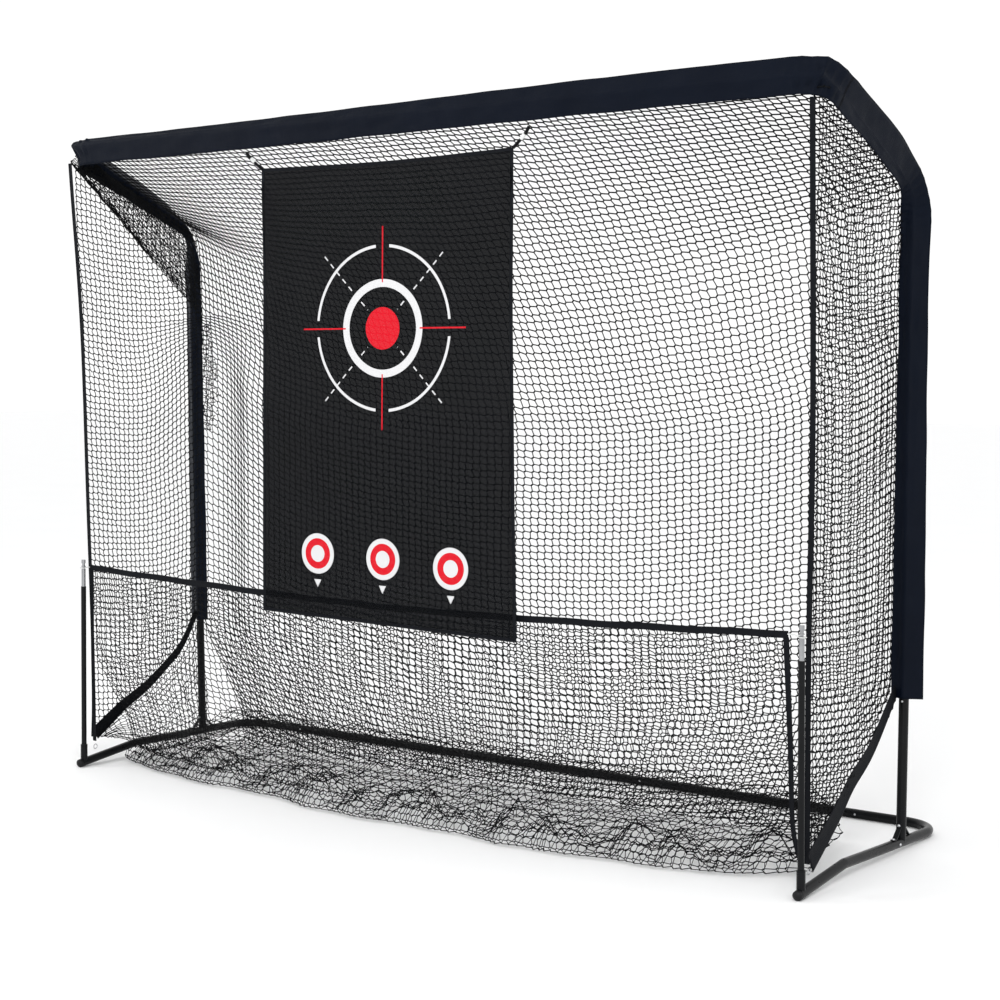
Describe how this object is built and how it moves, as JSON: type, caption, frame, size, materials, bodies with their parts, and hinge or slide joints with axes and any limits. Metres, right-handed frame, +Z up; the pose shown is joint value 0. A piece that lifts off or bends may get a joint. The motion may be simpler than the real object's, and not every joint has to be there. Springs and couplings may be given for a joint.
{
  "type": "golf chipping net",
  "caption": "Free-standing tube-frame golf hitting cage with netted back, roof and sides, cloth-sleeved poles, a low barrier net on two posts and a hanging printed target.",
  "frame": {"origin": "on the floor, midway between the two sides and midway between the front of the feet and the back of the rear bar", "axes": "+X to the player's right, +Y away from the player through the net, +Z up"},
  "size_m": [3.1996, 1.0798, 2.4395],
  "materials": {
    "black_steel": "glossy black powder coat",
    "bright_tip": "polished",
    "bright_steel": "zinc plated",
    "cap_plastic": "satin moulded",
    "sleeve_cloth": "close-woven coated polyester",
    "webbing": "flat woven tape",
    "net_cord": "knotless twine",
    "target_cloth": "matt printed cloth",
    "cord": "braided cord",
    "clip": "pale moulded"
  },
  "bodies": {
    "frame": {"foot_cap_left": "cap_plastic", "foot_tube_left": "black_steel", "arm_tube_left": "black_steel", "corner_tube_left": "black_steel", "rear_bar_left": "black_steel", "post_socket_left": "black_steel", "upright_lower_left": "black_steel", "upright_middle_left": "black_steel", "bend_tube_left": "black_steel", "top_corner_tube_left": "black_steel", "top_bar_left": "black_steel", "upright_braces_left": "black_steel", "slope_sleeve_left": "sleeve_cloth", "upright_sleeve_left": "sleeve_cloth", "front_binding_left": "webbing", "diagonal_binding_left": "webbing", "side_net_left": "net_cord", "foot_cap_right": "cap_plastic", "foot_tube_right": "black_steel", "arm_tube_right": "black_steel", "corner_tube_right": "black_steel", "rear_bar_right": "black_steel", "post_socket_right": "black_steel", "upright_lower_right": "black_steel", "upright_middle_right": "black_steel", "bend_tube_right": "black_steel", "top_corner_tube_right": "black_steel", "top_bar_right": "black_steel", "upright_braces_right": "black_steel", "slope_sleeve_right": "sleeve_cloth", "upright_sleeve_right": "sleeve_cloth", "front_binding_right": "webbing", "diagonal_binding_right": "webbing", "side_net_right": "net_cord", "rear_bar_middle": "black_steel", "brace_bolts": "bright_steel", "top_sleeve": "sleeve_cloth", "roof_net": "net_cord", "back_net": "net_cord", "barrier_strap": "webbing", "barrier_net": "net_cord", "barrier_bindings": "webbing", "floor_net": "net_cord", "corner_links": "bright_steel", "button_springs": "bright_steel"},
    "post_left": {"front_post_left": "black_steel", "post_tip_left": "bright_tip"},
    "post_right": {"front_post_right": "black_steel", "post_tip_right": "bright_tip"},
    "target": {"target_cloth": "target_cloth", "target_cords": "cord", "target_clips": "clip"},
    "button_upright_left": {"snap_button_upright_left": "bright_steel"},
    "button_inner_left": {"snap_button_inner_left": "bright_steel"},
    "button_outer_left": {"snap_button_outer_left": "bright_steel"},
    "button_upright_right": {"snap_button_upright_right": "bright_steel"},
    "button_inner_right": {"snap_button_inner_right": "bright_steel"},
    "button_outer_right": {"snap_button_outer_right": "bright_steel"}
  },
  "joints": [
    {"name": "post_lift_left", "type": "slide", "parent": "frame", "child": "post_left", "axis": [0.0134, 0, 0.9999], "range_m": [0, 0.06]},
    {"name": "post_lift_right", "type": "slide", "parent": "frame", "child": "post_right", "axis": [-0.0134, 0, 0.9999], "range_m": [0, 0.06]},
    {"name": "target_swing", "type": "hinge", "parent": "frame", "child": "target", "pos_m": [-0.043, -0.5014, 2.338], "axis": [-1, 0, 0], "range_deg": [-0.45, 45]},
    {"name": "button_press_upright_left", "type": "slide", "parent": "frame", "child": "button_upright_left", "axis": [-0.0001, 0.9999, 0.0124], "range_m": [0, 0.005], "stiffness_N_per_m": 1000, "springref_m": -0.003},
    {"name": "button_press_inner_left", "type": "slide", "parent": "frame", "child": "button_inner_left", "axis": [0, 1, 0], "range_m": [0, 0.005], "stiffness_N_per_m": 1000, "springref_m": -0.003},
    {"name": "button_press_outer_left", "type": "slide", "parent": "frame", "child": "button_outer_left", "axis": [0, 1, 0], "range_m": [0, 0.005], "stiffness_N_per_m": 1000, "springref_m": -0.003},
    {"name": "button_press_upright_right", "type": "slide", "parent": "frame", "child": "button_upright_right", "axis": [0.0001, 0.9999, 0.0124], "range_m": [0, 0.005], "stiffness_N_per_m": 1000, "springref_m": -0.003},
    {"name": "button_press_inner_right", "type": "slide", "parent": "frame", "child": "button_inner_right", "axis": [0, 1, 0], "range_m": [0, 0.005], "stiffness_N_per_m": 1000, "springref_m": -0.003},
    {"name": "button_press_outer_right", "type": "slide", "parent": "frame", "child": "button_outer_right", "axis": [0, 1, 0], "range_m": [0, 0.005], "stiffness_N_per_m": 1000, "springref_m": -0.003}
  ]
}
